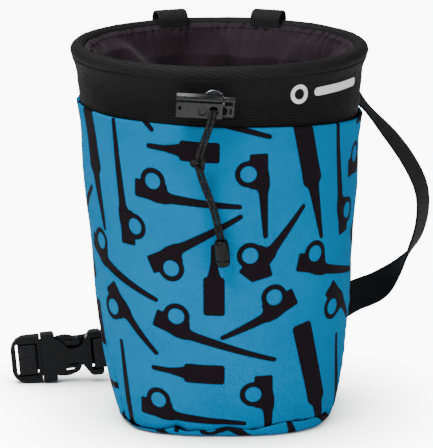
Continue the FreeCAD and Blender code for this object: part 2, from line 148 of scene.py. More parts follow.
def uv_mm(tree):
    """The two coordinates of the piece's own flat pattern, in millimetres."""
    vector = add_node(tree, "UVMap", uv_map="Pattern").outputs[0]
    split = add_node(tree, "SeparateXYZ", {0: vector})
    return Num(tree, split.outputs[0]), Num(tree, split.outputs[1]), vector


def place_mm(tree):
    """Object coordinates in millimetres."""
    place = add_node(tree, "TexCoord").outputs["Object"]
    return add_node(tree, "VectorMath", {0: place, "Scale": 1 / MM}, operation="SCALE").outputs[0]


def speckle(tree, vector, size, detail=2.0):
    """Noise between 0 and 1 whose grains are about `size` mm."""
    node = add_node(tree, "TexNoise", {"Vector": vector, "Scale": 1 / size, "Detail": detail})
    return Num(tree, node.outputs["Fac"])


def mix(tree, share, first, second):
    """Blend two colours by share."""
    first, second = [(*value, 1.0) if isinstance(value, tuple) else value for value in (first, second)]
    return add_node(tree, "Mix", {"Factor": share, 6: first, 7: second}, data_type="RGBA").outputs[2]


def new_material(name, specular, metallic=0.0):
    material = bpy.data.materials.new(name)
    material.use_nodes = True
    tree = material.node_tree
    shader = tree.nodes["Principled BSDF"]
    set_inputs(tree, shader, {"Specular IOR Level": specular, "Metallic": metallic})
    return material, tree, shader


def surface(tree, shader, colour, roughness, height, depth_mm):
    """Give a material its colour, roughness and relief."""
    bump = add_node(tree, "Bump", {"Strength": 1.0, "Distance": depth_mm * MM, "Height": height})
    set_inputs(tree, shader, {"Base Color": colour, "Roughness": roughness, "Normal": bump.outputs[0]})


def plain_weave(x, y, pitch):
    """Height of a plain weave: threads pass over and under by turns."""
    turn = 2 * math.pi / pitch
    return ((x * (turn / 2)).sin() * (y * (turn / 2)).sin()) * 0.5 + abs((x * turn).sin()) * 0.25 \
        + abs((y * turn).sin()) * 0.25


# ---------------------------------------------------------------- printed pattern
PRINT_TILE = (116.0, 109.0)
# Kind, place on the cloth, turn in degrees and side of each printed figure.
PRINT_LAYOUT = [
    ("long_pin", -43, 98, 93, -1), ("eye_pin", -32, 122, -3, 1), ("stub_pin", 13, 127, -91, -1),
    ("eye_pin", -24, 81, 27, -1), ("wedge_pin", 13, 88, 50, 1), ("eye_pin", -69, 84, -16, 1),
    ("stub_pin", 24, 67, 203, -1), ("stub_pin", -58, 55, -49, -1), ("long_pin", -22, 58, -18, 1),
    ("brush", -19, 138, -2, 1), ("brush", -4, 78, -91, 1), ("paddle", 46, 118, 101, 1),
]


def slab(x, y, cx, cy, half_x, half_y, radius):
    """Distance to a rectangle with rounded corners."""
    dx = abs(x - cx) - (half_x - radius)
    dy = abs(y - cy) - (half_y - radius)
    return length(dx.high(0.0), dy.high(0.0)) + dx.high(dy).low(0.0) - radius


def blade(x, y, x0, x1, half_0, half_1, y0, y1):
    """Distance to a straight tapering strip with round ends."""
    share = ((x - x0) / (x1 - x0)).clamp()
    middle_x = share * (x1 - x0) + x0
    middle_y = share * (y1 - y0) + y0
    return length(x - middle_x, y - middle_y) - half_0 - share * (half_1 - half_0)


def ring_pin(x, y, reach, heel):
    """Ring head on a block, with a blade that tapers away to the right."""
    block = slab(x, y, -1.2, -4.9, 8.3, 4.4, 1.1)
    body = (length(x, y) - 6.3).smooth_low(block, 1.6)
    body = body.smooth_low(blade(x, y, 3.0, reach, 2.6, 1.2, -6.7, -8.2 + heel), 5.0)
    return body.high(-length(x, y) + 3.8)


def wedge_pin(x, y):
    tip = slab(x * 0.8 - y * 0.6, x * 0.6 + y * 0.8, 2.6, -7.4, 5.2, 5.2, 1.2)
    return ring_pin(x, y, 33.0, 0.4).low(tip).high(-length(x, y) + 3.8)


def brush(x, y):
    body = slab(x, y, 9.6, 0.0, 9.4, 5.0, 1.5)
    body = body.smooth_low(blade(x, y, -4.0, 4.0, 1.6, 4.6, 0.0, 0.0), 1.0)
    return body.smooth_low(blade(x, y, -14.7, 0.0, 1.3, 1.8, 0.0, 0.0), 3.0)


def paddle(x, y):
    body = slab(x, y, 22.0, 0.0, 21.5, 5.2, 2.0)
    return body.smooth_low(blade(x, y, -27.0, 3.0, 1.2, 3.4, 0.0, 0.0), 5.0)


FIGURES = {
    "eye_pin": lambda x, y: ring_pin(x, y, 41.0, 0.0),
    "long_pin": lambda x, y: ring_pin(x, y, 50.0, 0.6),
    "stub_pin": lambda x, y: ring_pin(x, y, 30.0, 0.2),
    "wedge_pin": wedge_pin, "brush": brush, "paddle": paddle,
}


def figure_group(kind):
    """Node group that turns a place in a figure's own frame into its distance."""
    name = "Figure_" + kind
    if name in bpy.data.node_groups:
        return bpy.data.node_groups[name]
    group = bpy.data.node_groups.new(name, "ShaderNodeTree")
    group.interface.new_socket("Place", in_out="INPUT", socket_type="NodeSocketVector")
    group.interface.new_socket("Distance", in_out="OUTPUT", socket_type="NodeSocketFloat")
    entry = group.nodes.new("NodeGroupInput")
    leave = group.nodes.new("NodeGroupOutput")
    split = add_node(group, "SeparateXYZ", {0: entry.outputs[0]})
    distance = FIGURES[kind](Num(group, split.outputs[0]), Num(group, split.outputs[1]))
    group.links.new(distance.source, leave.inputs[0])
    return group


def vector_math(tree, operation, *values):
    return add_node(tree, "VectorMath", dict(enumerate(values)), operation=operation).outputs[0]


def print_distance(tree, vector):
    """Distance to the nearest printed figure, in mm, below zero inside the ink."""
    half = (PRINT_TILE[0] / 2, PRINT_TILE[1] / 2, 1.0)
    nearest = None
    for kind, x, y, turn, side in PRINT_LAYOUT:
        moved = vector_math(tree, "SUBTRACT", vector, (x, y, 0.0))
        wrapped = vector_math(tree, "WRAP", moved, half, tuple(-h for h in half))
        rotate = add_node(tree, "VectorRotate", {"Vector": wrapped, "Angle": -math.radians(turn)},
                          rotation_type="Z_AXIS")
        local = vector_math(tree, "MULTIPLY", rotate.outputs[0], (1.0, side, 1.0))
        figure = add_node(tree, "Group", {0: local}, node_tree=figure_group(kind))
        distance = Num(tree, figure.outputs[0])
        nearest = distance if nearest is None else nearest.low(distance)
    return nearest


# ---------------------------------------------------------------- materials
def printed_cloth(name, shift):
    """Blue plain-weave polyester with black figures; shift moves the print on the panel."""
    material, tree, shader = new_material(name, 0.06)
    u, v, vector = uv_mm(tree)
    moved = vector_math(tree, "ADD", vector, (*shift, 0.0))
    wobble = speckle(tree, vector, 0.8) - 0.5
    ink = (-(print_distance(tree, moved) + wobble * 0.25) * 3.0 + 0.5).clamp()
    weave = plain_weave(u, v, 0.54)
    broad = speckle(tree, vector, 30.0)
    # Tone follows the weave: painted highlight on the threads' crowns and painted shade in the hollows
    # between them; the blue also has broad random tone.
    blue = mix(tree, (weave * 0.5 + broad * 0.5).clamp(), (0.0, 0.12, 0.29), (0.0, 0.20, 0.41))
    black = mix(tree, weave.clamp(), (0.004, 0.002, 0.004), (0.012, 0.007, 0.011))
    surface(tree, shader, mix(tree, ink, blue, black),
            ink * -0.08 + speckle(tree, vector, 3.0) * 0.12 + 0.74,
            weave + speckle(tree, vector, 1.8) * 0.4, 0.10)
    return material


RIB_PITCH = 1.42            # ribs of the black nylon, mm


def ribbed_cloth(name, light, groove_shade, print_and_top_light=False):
    """Black nylon with fine ribs along the rim, its tone painted lighter on the rib tops and darker in the
    grooves between them; print_and_top_light adds a plain white print and paints the collar lighter towards
    its top.
    """
    material, tree, shader = new_material(name, 0.05)
    u, v, vector = uv_mm(tree)
    drift = (speckle(tree, vector, 40.0) - 0.5) * 1.2
    rib = abs(((v + drift) * (math.pi / RIB_PITCH)).sin())
    thread = abs((u * (math.pi / 0.7)).sin())
    height = rib + thread * 0.25 + speckle(tree, vector, 0.9) * 0.3
    # Painted light: the collar grows lighter towards its top, blending into the lighter roll above it.
    painted_top_light = ((v - 160.0) / 12.0).clamp() * float(print_and_top_light)
    # The tone follows the ribs: painted highlight on the rib tops and painted shade in the grooves, with
    # some random tone.
    tone = (rib * 0.7 + speckle(tree, vector, 6.0) * 0.3 + painted_top_light * 0.8).clamp()
    shade = mix(tree, tone, (light * groove_shade,) * 3, (light, light * 0.95, light))
    if print_and_top_light:
        dot = length(u - 38.5, v - 164.5)
        stripe = slab(u, v, 63.5, 164.5, 16.5, 2.0, 2.0)
        white = (-((dot - 4.6).high(-dot + 2.6).low(stripe)) * 4.0 + 0.5).clamp()
        shade = mix(tree, white, shade, (0.72, 0.72, 0.73))
    surface(tree, shader, shade, speckle(tree, vector, 5.0) * 0.2 + 0.5, height, 0.12)
    return material


def lining_cloth(name, grain, colour, depth):
    """Soft dark lining cloth."""
    material, tree, shader = new_material(name, 0.05)
    u, v, vector = uv_mm(tree)
    fluff = speckle(tree, vector, grain, 4.0)
    dark = tuple(channel * 0.55 for channel in colour)
    surface(tree, shader, mix(tree, fluff, dark, colour), fluff * 0.15 + 0.76,
            fluff + plain_weave(u, v, 0.8) * 0.3, depth)
    set_inputs(tree, shader, {"Sheen Weight": 0.04, "Sheen Roughness": 0.5})
    return material


WEB_COLUMN, WEB_RIB = 1.25, 0.75     # pitch of the webbing's columns and ribs, mm


def webbing_material():
    """Black webbing: staggered ribs across the strap."""
    material, tree, shader = new_material("Webbing", 0.06)
    u, v, vector = uv_mm(tree)
    column = (u / WEB_COLUMN).floor()
    stagger = (column * 0.5).fraction() * WEB_RIB
    rib = abs(((v + stagger) * (math.pi / WEB_RIB)).sin())
    groove = abs((u * (math.pi / WEB_COLUMN)).sin()).math("POWER", 0.5)
    height = rib * groove
    fuzz = speckle(tree, vector, 0.5)
    # Tone follows the ribs' height: painted shade in the grooves and painted highlight on the rib tops, with
    # some random fuzz.
    shade = mix(tree, (height * 0.8 + fuzz * 0.2).clamp(), (0.0015, 0.0015, 0.0015), (0.030, 0.029, 0.030))
    surface(tree, shader, shade, fuzz * 0.2 + 0.5, height + fuzz * 0.25, 0.28)
    return material


def braid_material():
    """Braided sheath of a thin cord, with a few pale flecks."""
    material, tree, shader = new_material("Braid", 0.10)
    u, v, vector = uv_mm(tree)
    left = abs((u * 2.1 + v * 2.4).sin())
    right = abs((u * 2.1 - v * 2.4).sin())
    over = left.high(right)
    fleck = ((speckle(tree, vector, 1.1, 0.0) - 0.60) * 9.0).clamp()
    # Tone follows the braid's strands: painted shade where they dip under each other and painted highlight
    # on their crowns.
    shade = mix(tree, over, (0.002, 0.002, 0.002), (0.011, 0.0105, 0.011))
    surface(tree, shader, mix(tree, fleck * 0.28, shade, (0.10, 0.095, 0.09)), over * 0.2 + 0.42, over, 0.22)
    return material


def thread_material():
    material, tree, shader = new_material("Thread", 0.2)
    twist = speckle(tree, place_mm(tree), 0.4)
    surface(tree, shader, mix(tree, twist, (0.004, 0.004, 0.004), (0.018, 0.0175, 0.018)), 0.5, twist, 0.08)
    return material


def plastic(name, dark, light, roughness, grain_depth, shine=0.25):
    """Moulded plastic with a fine spark-eroded grain and slightly polished patches."""
    material, tree, shader = new_material(name, shine)
    place = place_mm(tree)
    grain = speckle(tree, place, 0.28)
    patches = speckle(tree, place, 7.0, 3.0)
    surface(tree, shader, mix(tree, patches, dark, light),
            patches * 0.22 + grain * 0.08 + (roughness - 0.14),
            grain + patches * 0.5, grain_depth)
    return material


def metal(name, colour, roughness):
    """Plated metal with fine turning marks."""
    material, tree, shader = new_material(name, 0.5, 1.0)
    place = place_mm(tree)
    marks = speckle(tree, place, 0.35, 3.0)
    dark = tuple(channel * 0.6 for channel in colour)
    surface(tree, shader, mix(tree, marks, dark, colour), marks * 0.25 + (roughness - 0.1), marks, 0.03)
    return material


# ---------------------------------------------------------------- mesh helpers
def add_object(name, data):
    thing = bpy.data.objects.new(name, data)
    bpy.context.scene.collection.objects.link(thing)
    return thing


def finish_mesh(name, vertices, faces, uvs, material):
    """Mesh object from points in mm; uvs has one flat-pattern place for each face corner."""
    data = bpy.data.meshes.new(name)
    data.from_pydata((np.asarray(vertices, float) * MM).tolist(), [], faces)
    layer = data.uv_layers.new(name="Pattern")
    layer.data.foreach_set("uv", np.asarray(uvs, np.float32).ravel())
    data.polygons.foreach_set("use_smooth", [True] * len(data.polygons))
    data.materials.append(material)
    data.validate()
    piece = add_object(name, data)
    return piece


def grid_faces(rows, columns, wrap, first=0):
    """Quads of a grid whose vertices are numbered from first, and the row and column of
    each face corner."""
    last = columns if wrap else columns - 1
    quad = ((0, 0), (0, 1), (1, 1), (1, 0))
    corners = [(i + up, j + right) for i in range(rows - 1) for j in range(last) for up, right in quad]
    numbers = [first + i * columns + j % columns for i, j in corners]
    return [numbers[k:k + 4] for k in range(0, len(numbers), 4)], np.array(corners)


def grid_mesh(name, points, uv, material, slot, wrap=False):
    """Quad mesh over rows of points. With wrap the last column joins the first, and uv
    has one more column than points."""
    faces, corners = grid_faces(*points.shape[:2], wrap)
    uvs = uv[corners[:, 0], corners[:, 1]]
    return finish_mesh(name, points.reshape(-1, 3), faces, uvs, material)


def thicken(piece, thickness, offset=-1.0):
    """Give a sheet its cloth thickness."""
    solid = piece.modifiers.new("Thickness", "SOLIDIFY")
    solid.thickness = thickness * MM
    solid.offset = offset
    return piece


def running_length(points, axis):
    steps = np.linalg.norm(np.diff(points, axis=axis), axis=-1)
    zero = np.zeros_like(np.take(steps, [0], axis=axis))
    return np.concatenate([zero, np.cumsum(steps, axis=axis)], axis=axis)


def on_line(line, where):
    """Values on a line at these distances along it; its first three columns are the place."""
    run = running_length(line[:, :3], 0)
    return np.stack([np.interp(where, run, column) for column in line.T], axis=-1)


def unit(vectors):
    """The same directions with a length of 1."""
    return vectors / np.maximum(np.linalg.norm(vectors, axis=-1, keepdims=True), 1e-9)


def hump(value, middle, width):
    """Smooth bump: 1 at middle, and nearly gone twice width away from it."""
    return np.exp(-((value - middle) / width) ** 2)


def flat_grid(u, v):
    """Flat pattern of a grid with one u for each column and one v for each row."""
    return np.stack(np.meshgrid(u, v), axis=-1)


def stands_for(piece, body, *nodes):
    """Fix a piece to a CAD body, in place of these CAD nodes."""
    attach(piece, body)
    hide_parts(*nodes)
    return piece


def rough(x, y, z, size, seed=0.0):
    """Smooth noise from -1 to 1 with lumps about `size` mm."""
    return noise.noise(Vector((x / size + seed, y / size - seed, z / size + 2 * seed)))


def rough_map(points, size, seed=0.0, stretch=(1.0, 1.0, 1.0)):
    flat = points.reshape(-1, 3) / np.array(stretch)
    return np.array([rough(*p, size, seed) for p in flat]).reshape(points.shape[:-1])


def superellipse(angles, half_width, squareness):
    """Section of the bag; angle 0 is the front and a quarter turn is the +X side."""
    sine, cosine = np.sin(angles), np.cos(angles)
    power = 2.0 / squareness
    x = half_width * np.sign(sine) * np.abs(sine) ** power
    y = -DEPTH_RATIO * half_width * np.sign(cosine) * np.abs(cosine) ** power
    return x, y


def even_angles(start, end, count, squareness):
    """Angles whose points lie evenly along the section."""
    fine = np.linspace(start, end, 721)
    x, y = superellipse(fine, 1.0, squareness)
    run = running_length(np.stack([x, y], axis=-1), 0)
    return np.interp(np.linspace(0, run[-1], count), run, fine)


def bag_rows(heights, widths, squareness, start, end, count):
    """Rows of points on the bag's wall, one row for each height."""
    rows = []
    starts, ends = np.broadcast_to(start, len(heights)), np.broadcast_to(end, len(heights))
    for z, half_width, square, first, last in zip(heights, widths, squareness, starts, ends):
        x, y = superellipse(even_angles(first, last, count, square), half_width, square)
        drift = BASE_DRIFT * max(0.0, 1 - z / SHELL_TOP)
        rows.append(np.stack([x + drift, y, np.full_like(x, z)], axis=-1))
    return np.array(rows)


def ring_rows(heights, widths, squareness, count, start=-math.pi):
    """Rows all round the bag; the last point of a row is the one before its first."""
    square = np.full(len(heights), squareness)
    return bag_rows(heights, widths, square, start, start + 2 * math.pi, count + 1)[:, :-1]


def closed(grid):
    """The grid with its first column again at the end."""
    return np.concatenate([grid, grid[:, :1]], axis=1)


def outward(points):
    """Unit direction away from the bag's axis, across the wall."""
    return unit(points * np.array([1.0, 1.0 / DEPTH_RATIO ** 2, 0.0]))


def pushed(points, push):
    """Points moved away from the bag's axis by push."""
    return points + outward(points) * push[..., None]


def flat_pattern(points, apex=560.0):
    """Unroll a slightly conical wall from its centre line, in mm."""
    across = running_length(points, 1)
    for row, run in zip(points, across):
        offset = row[:, 0] - BASE_DRIFT * max(0.0, 1 - row[0, 2] / SHELL_TOP)
        order = np.argsort(offset)
        run -= np.interp(0.0, offset[order], run[order])
    up = running_length(points, 0)[:, points.shape[1] // 2][:, None] + apex
    turn = across / up
    return np.stack([up * np.sin(turn), up * np.cos(turn) - apex], axis=-1)


# ---------------------------------------------------------------- printed shell and base
BASE_SEAM = 4.5             # height of the seam between the shell and the base, mm
BASE_FLAT_R = 47.4          # half width of the base's flat underside, mm
BASE_SQUARENESS = 2.75


def seam_height(points):
    """The base seam lies low at the front left and climbs towards the front right."""
    angle = np.arctan2(points[..., 0], -points[..., 1])
    climb = 3.9 + 2.2 * hump(angle, 0.75, 0.55) - 2.0 * hump(angle, -0.8, 0.6)
    wave = 0.5 * np.sin(angle * 11 + 1.0) + 0.35 * np.sin(angle * 23)
    tuck = 1.3 * hump(angle, -0.42, 0.07) - 1.6 * hump(angle, 0.33, 0.10)
    return climb + wave * 0.7 + tuck


def seam_turn(heights):
    """Angle of the left seam, which comes round to the front near the base."""
    return math.radians(-90) + math.radians(25) * hump(np.clip(heights - 20.0, 0, None), 0.0, 28.0)


def hem_drop(points):
    """How far the top hem has slipped below its level, which is most at the +X side."""
    right = np.clip((points[..., 0] - 5.0) / 62.0, 0, 1)
    upper = np.clip((points[..., 2] - 60.0) / 91.0, 0, 1)
    return (6.0 * right ** 1.6 + 1.0 * hump(points[..., 0], 8.0, 30.0)) * upper


# Dimples where the base seam pulls the shell in: angle from the front, depth.
SEAM_DIMPLES = [(-0.42, 1.5), (-0.36, 0.9), (0.33, 1.2), (0.72, 0.8), (1.05, 1.3), (-0.95, 0.9)]
HEM_ROLL_R = 0.8            # radius of the folded top hem
HEM_TURN_IN = 3.0           # how far the hem runs down inside


def shell_relief(points, side):
    """How far a panel's cloth stands out from its plain shape: slack, seams and dimples."""
    z = points[..., 2]
    low = np.exp(-(z - BASE_SEAM) / 9.0)
    high = np.exp(-(SHELL_TOP - z) / 14.0)
    push = 1.1 * rough_map(points, 42.0, 3.1) * (1 - 0.5 * high)
    push += 0.5 * rough_map(points, 17.0, 7.7, (1.0, 1.0, 2.2))
    push += low * (0.9 * rough_map(points, 9.0, 1.3, (1.0, 1.0, 3.0)) - 0.4)
    push += 0.35 * high * rough_map(points, 12.0, 5.2, (1.0, 1.0, 4.0))
    across = running_length(points, 1)
    edge = np.minimum(across, across[:, -1:] - across)
    push -= 0.75 * hump(edge, 0.0, 1.1) - 0.25 * hump(edge, 2.6, 1.2)
    if side == 1:
        push -= 1.4 * hump(z, 20.0, 16.0) * hump(across, 0.0, 1.6)
    angle = np.arctan2(points[..., 0], -points[..., 1])
    for middle, deep in SEAM_DIMPLES:
        push -= deep * (hump(angle, middle, 0.035) * np.exp(-(z - BASE_SEAM) / 4.5))
    push -= 0.8 * hump(z, BASE_SEAM, 1.0)
    pucker = np.sin(across * 1.15 + 3 * rough_map(points, 20.0, 9.0))
    return push + 0.16 * pucker * hump(edge, 0.0, 5.0)


def with_hem(points, pattern):
    """The panel with its top hem, which rolls over inwards and runs down inside."""
    turns = np.radians(np.linspace(20, 180, 7))[:, None, None]
    roll = points[-1] + HEM_ROLL_R * (UP * np.sin(turns) - outward(points[-1]) * (1 - np.cos(turns)))
    roll = np.concatenate([roll, roll[-1:] - UP * HEM_TURN_IN])
    rise = 0.35 * np.arange(1, len(roll) + 1)[:, None, None]
    roll_pattern = pattern[-1] + rise * np.array([0.0, 1.0])
    return np.concatenate([points, roll]), np.concatenate([pattern, roll_pattern])


def shell_panel(name, side, material, node):
    """One printed panel: side 1 is the front, -1 the back."""
    heights = np.concatenate([np.linspace(BASE_SEAM, 14, 16), np.linspace(15, SHELL_TOP, 110)])
    widths = np.interp(heights, SHELL_HEIGHTS, SHELL_WIDTHS)
    for _ in range(6):
        widths[1:-1] = (widths[:-2] + 2 * widths[1:-1] + widths[2:]) / 4
    squareness = np.interp(heights, SHELL_HEIGHTS, SHELL_SQUARENESS)
    left = seam_turn(heights)
    right = np.full(len(heights), math.pi / 2)
    starts, ends = (left, right) if side == 1 else (right, left + 2 * math.pi)
    points = bag_rows(heights, widths, squareness, starts, ends, 220)
    pattern = flat_pattern(points)
    fade = np.exp(-(points[..., 2] - BASE_SEAM) / 7.0)
    points = pushed(points, shell_relief(points, side))
    slip = (seam_height(points) - BASE_SEAM) * fade - hem_drop(points)
    points[..., 2] += slip
    pattern[..., 1] += slip
    piece = grid_mesh(name, *with_hem(points, pattern), material, "shell_cloth")
    return stands_for(piece, "bag", node)


def base_cloth(material):
    """Printed base panel: flat underneath, turned up round the edge to its seam."""
    turns = np.linspace(0, 1, 12)
    rise = BASE_SEAM * (1 - np.cos(turns * math.pi / 2))
    widths = [BASE_FLAT_R + 3.7 * math.sin(t * math.pi / 2) for t in turns]
    flat = np.linspace(0.02, 1, 14)[:-1] * BASE_FLAT_R
    heights = np.concatenate([np.zeros(len(flat)), rise])
    widths = np.concatenate([flat, widths])
    points = ring_rows(heights, widths, BASE_SQUARENESS, 360)
    edge = np.clip((widths - 45.0) / 5.0, 0, 1)[:, None]
    push = edge * (0.7 * rough_map(points, 11.0, 4.4) - 0.1)
    points = pushed(points, push)
    painted_top_light = 1.1 * np.clip(rough_map(points, 21.0, 6.0) + 0.15, 0, 1) * edge
    points[..., 2] *= seam_height(points) / BASE_SEAM
    points[..., 2] += 0.3 * painted_top_light * np.clip(points[..., 2] / BASE_SEAM, 0, 1)
    pattern = unit(points[..., :2]) * running_length(points, 0)[..., None] + np.array([17.0, 31.0])
    piece = grid_mesh("Base_cloth", points, closed(pattern), material, "shell_cloth", wrap=True)
    return stands_for(piece, "bag", "base_panel")


# ---------------------------------------------------------------- collar and rim
COLLAR_HEIGHTS = [140.0, 146.5, 151.0, 160.0, 166.0, 169.0, 171.0, 172.4, 173.4]
COLLAR_WIDTHS = [63.9, 64.7, 65.6, 66.4, 67.0, 67.6, 68.4, 69.1, 69.3]
COLLAR_BACK_R = 67.2        # half width of the collar where the belt loops are sewn on


def collar_cloth(material):
    """Ribbed collar, a little wider at the low right, flared under the rim."""
    heights = np.concatenate([np.linspace(140.0, 168.5, 44), np.linspace(169.2, 173.4, 11)])
    widths = np.interp(heights, COLLAR_HEIGHTS, COLLAR_WIDTHS)
    points = ring_rows(heights, widths, 2.0, 480)
    low_right = np.clip((points[..., 0] - 20.0) / 45.0, 0, 1) * np.clip((151.0 - points[..., 2]) / 6.0, 0, 1)
    points[..., :2] *= 1 + 0.006 * low_right[..., None]
    push = 0.45 * rough_map(points, 24.0, 8.1) + 0.2 * rough_map(points, 8.0, 2.2, (1.0, 1.0, 0.5))
    push *= np.clip((172.5 - heights) / 4, 0, 1)[:, None]
    points = pushed(points, push)
    across = running_length(closed(points), 1)
    front = across.shape[1] // 2
    pattern = np.stack([across - across[:, front][:, None], closed(points)[..., 2]], axis=-1)
    piece = thicken(grid_mesh("Collar_cloth", points, pattern, material, "black_cloth", wrap=True), 1.2)
    return stands_for(piece, "bag", "collar_band", "collar_stiffener")


def rim_roll(material):
    """Cloth rolled round the rim hoop, slightly uneven, with creases where it is pulled."""
    around = np.linspace(0, 2 * math.pi, 33)
    along = np.linspace(-math.pi, math.pi, 721)
    points = []
    for angle in along:
        x, y = RIM_HALF_WIDTH * math.sin(angle), -RIM_HALF_WIDTH * DEPTH_RATIO * math.cos(angle)
        radius = RIM_TUBE_R + 0.22 * rough(x, y, 0, 13.0, 2.0) + 0.12 * rough(x, y, 0, 4.0, 5.0)
        crease = 0.10 * np.sin(angle * 95 + 2.2 * np.sin(around) + 3 * rough(x, y, 0, 15.0, 8.0))
        below = np.clip(-np.sin(around), 0, None)
        reach = (radius + crease * below * (0.5 + 0.5 * rough(x, y, 0, 18.0, 1.0)))[:, None]
        middle = np.array([x, y, 0.0])
        spoke = UP * np.sin(around)[:, None] + outward(middle) * np.cos(around)[:, None]
        points.append(middle + UP * RIM_HEIGHT + reach * spoke)
    points = np.array(points)
    across = running_length(points[:, 8], 0)
    # The ribs wind round the roll, steeply at the right of the front and hardly at the left.
    steep = (1 + np.cos(along - 1.2)) ** 2 / 4
    wind = np.cumsum(steep) * (68 * RIB_PITCH / np.sum(steep))
    round_mm = around * RIM_TUBE_R + wind[:, None]
    pattern = np.stack([np.broadcast_to(across[:, None], round_mm.shape), round_mm], axis=-1)
    piece = grid_mesh("Rim_roll", points, pattern, material, "black_cloth")
    return stands_for(piece, "bag", "rim_binding")


# ---------------------------------------------------------------- inside of the bag
def crease(across, heights, start, end, depth, softness, reach):
    """Fold along a line on the wall: a quick step inward that fades away to one side."""
    start, end = np.array(start, float), np.array(end, float)
    heading = unit(end - start)
    side = (across - start[0]) * heading[1] - (heights - start[1]) * heading[0]
    along = (across - start[0]) * heading[0] + (heights - start[1]) * heading[1]
    fade = hump(along, 8.0, 26.0)
    step = 1 / (1 + np.exp(-np.clip(side / softness, -30, 30)))
    held = np.clip((175.5 - heights) / 5.0, 0, 1)
    return depth * fade * held * step * np.exp(-np.clip(side, 0, None) / reach)


def inner_wall(heights, widths, folds, count):
    """Soft layer that hangs inside; angles run from the back, which is what shows most."""
    points = ring_rows(heights, widths, 2.05, count, 0.0)
    across = running_length(closed(points), 1)
    across = across - across[:, count // 2][:, None]
    levels = np.repeat(np.array(heights)[:, None], count + 1, axis=1)
    pattern = np.stack([across, levels], axis=-1)
    across, levels = -across[:, :-1], levels[:, :-1]
    hang = np.clip((heights[-1] - levels - 2.0) / 12.0, 0, 1)
    soft = rough_map(points, 30.0, 11.0, (1.0, 1.0, 1.5))
    soft = soft + 0.5 * rough_map(points, 13.0, 4.0, (1.0, 1.0, 1.7))
    push = -folds * hang * (0.8 + 1.2 * soft)
    return points, pattern, across, levels, push


SLEEVE_HEIGHTS = [138.0, 150.0, 165.0, 172.0, 175.2, 176.4, 177.0]
SLEEVE_WIDTHS = [57.0, 58.2, 59.6, 60.2, 60.9, 62.0, 63.2]
SLEEVE_COLUMNS = 640
SLEEVE_SEAM = 175.4         # height of the seam that joins the sleeve to the rim
# Folds of the sleeve: start and end (across, height), depth, softness and reach.
SLEEVE_FOLDS = [
    ((-54.0, 171.0), (-30.0, 153.0), 8.0, 1.5, 30.0),
    ((64.0, 158.0), (78.0, 174.0), 7.5, 1.2, 22.0),
    ((12.0, 148.0), (1.0, 172.0), 4.6, 1.3, 17.0),
    ((30.0, 148.0), (41.0, 170.0), 3.6, 1.4, 15.0),
]


def closure_sleeve(material):
    """Gathered sleeve sewn under the rim; it covers the inner ends of the belt loops."""
    heights = np.concatenate([np.linspace(138.0, 166.0, 50), np.linspace(166.4, 177.0, 34)])
    widths = np.interp(heights, SLEEVE_HEIGHTS, SLEEVE_WIDTHS)
    points, pattern, across, levels, push = inner_wall(heights, widths, 4.2, SLEEVE_COLUMNS)
    wander = 3.4 * np.array([rough(a, 0, 0, 9.0, 3.0) for a in across[0]])
    pleats = hump(np.sin(across[0] * 0.55 + wander), 0.0, 0.5)
    depth = 0.5 + 0.5 * np.array([rough(a, 5.0, 0, 21.0, 8.0) for a in across[0]])
    gather = hump(levels, 175.2, 2.1) + 0.35 * hump(levels, 170.5, 3.5)
    push += (2.6 * pleats * depth)[None, :] * gather - 0.8 * gather
    for offset in (-LOOP_OFFSET - 0.5, LOOP_OFFSET + 0.5):
        near = np.exp(-((across - offset) / 9.5) ** 4)
        push -= 0.9 * near * hump(levels, 173.0, 4.0)
    for fold in SLEEVE_FOLDS:
        push -= crease(across, levels, *fold)
    points = pushed(points, push)
    points = pushed(points, -0.9 * hump(levels, 139.5, 1.6))
    piece = grid_mesh("Closure_sleeve", points, pattern, material, "lining_cloth", wrap=True)
    thicken(piece, 0.5, 1.0)
    stands_for(piece, "bag", "closure_sleeve", "sleeve_drawcord")
    seam = points[np.argmin(abs(heights - SLEEVE_SEAM))]
    return np.concatenate([seam, seam[:1]])


def inside(fleece, thin_cloth):
    """Lining, sleeve and lining floor; gives back the line of the sleeve's seam."""
    heights = np.concatenate([np.linspace(2.4, 12, 10), np.linspace(14, 150, 70)])
    widths = np.interp(heights, [2.4, 9.0, 31.0, 80.0, 140.0, 150.0], [46.5, 49.6, 54.2, 57.8, 61.4, 62.2])
    points, pattern, _, _, push = inner_wall(heights, widths, 1.3, 360)
    points = pushed(points, push)
    lining = grid_mesh("Lining_fleece", points, pattern, fleece, "lining_cloth", wrap=True)
    stands_for(lining, "bag", "lining_wall")
    seam = closure_sleeve(thin_cloth)
    widths = np.linspace(0.3, BASE_FLAT_R, 26)
    points = ring_rows(np.full(len(widths), 2.6), widths, 2.4, 240)
    points[..., 2] += 0.8 + 0.8 * rough_map(points, 16.0, 2.0)
    pattern = closed(points[..., :2])
    bottom = grid_mesh("Lining_floor", points, pattern, fleece, "lining_cloth", wrap=True)
    stands_for(bottom, "bag", "lining_base")
    return seam


# ---------------------------------------------------------------- webbing
def smooth_line(points, count):
    """Catmull-Rom line through points, evenly spaced along its length."""
    points = np.asarray(points, float)
    padded = np.concatenate([2 * points[:1] - points[1:2], points, 2 * points[-1:] - points[-2:-1]])
    fine = []
    for i in range(1, len(padded) - 2):
        a, b, c, d = padded[i - 1:i + 3]
        for t in np.linspace(0, 1, 24, endpoint=False):
            fine.append(0.5 * (2 * b + (c - a) * t + (2 * a - 5 * b + 4 * c - d) * t ** 2
                               + (3 * b - a - 3 * c + d) * t ** 3))
    fine = np.array([*fine, padded[-2]])
    whole = running_length(fine[:, :3], 0)[-1]
    return on_line(fine, np.linspace(0, whole, count))


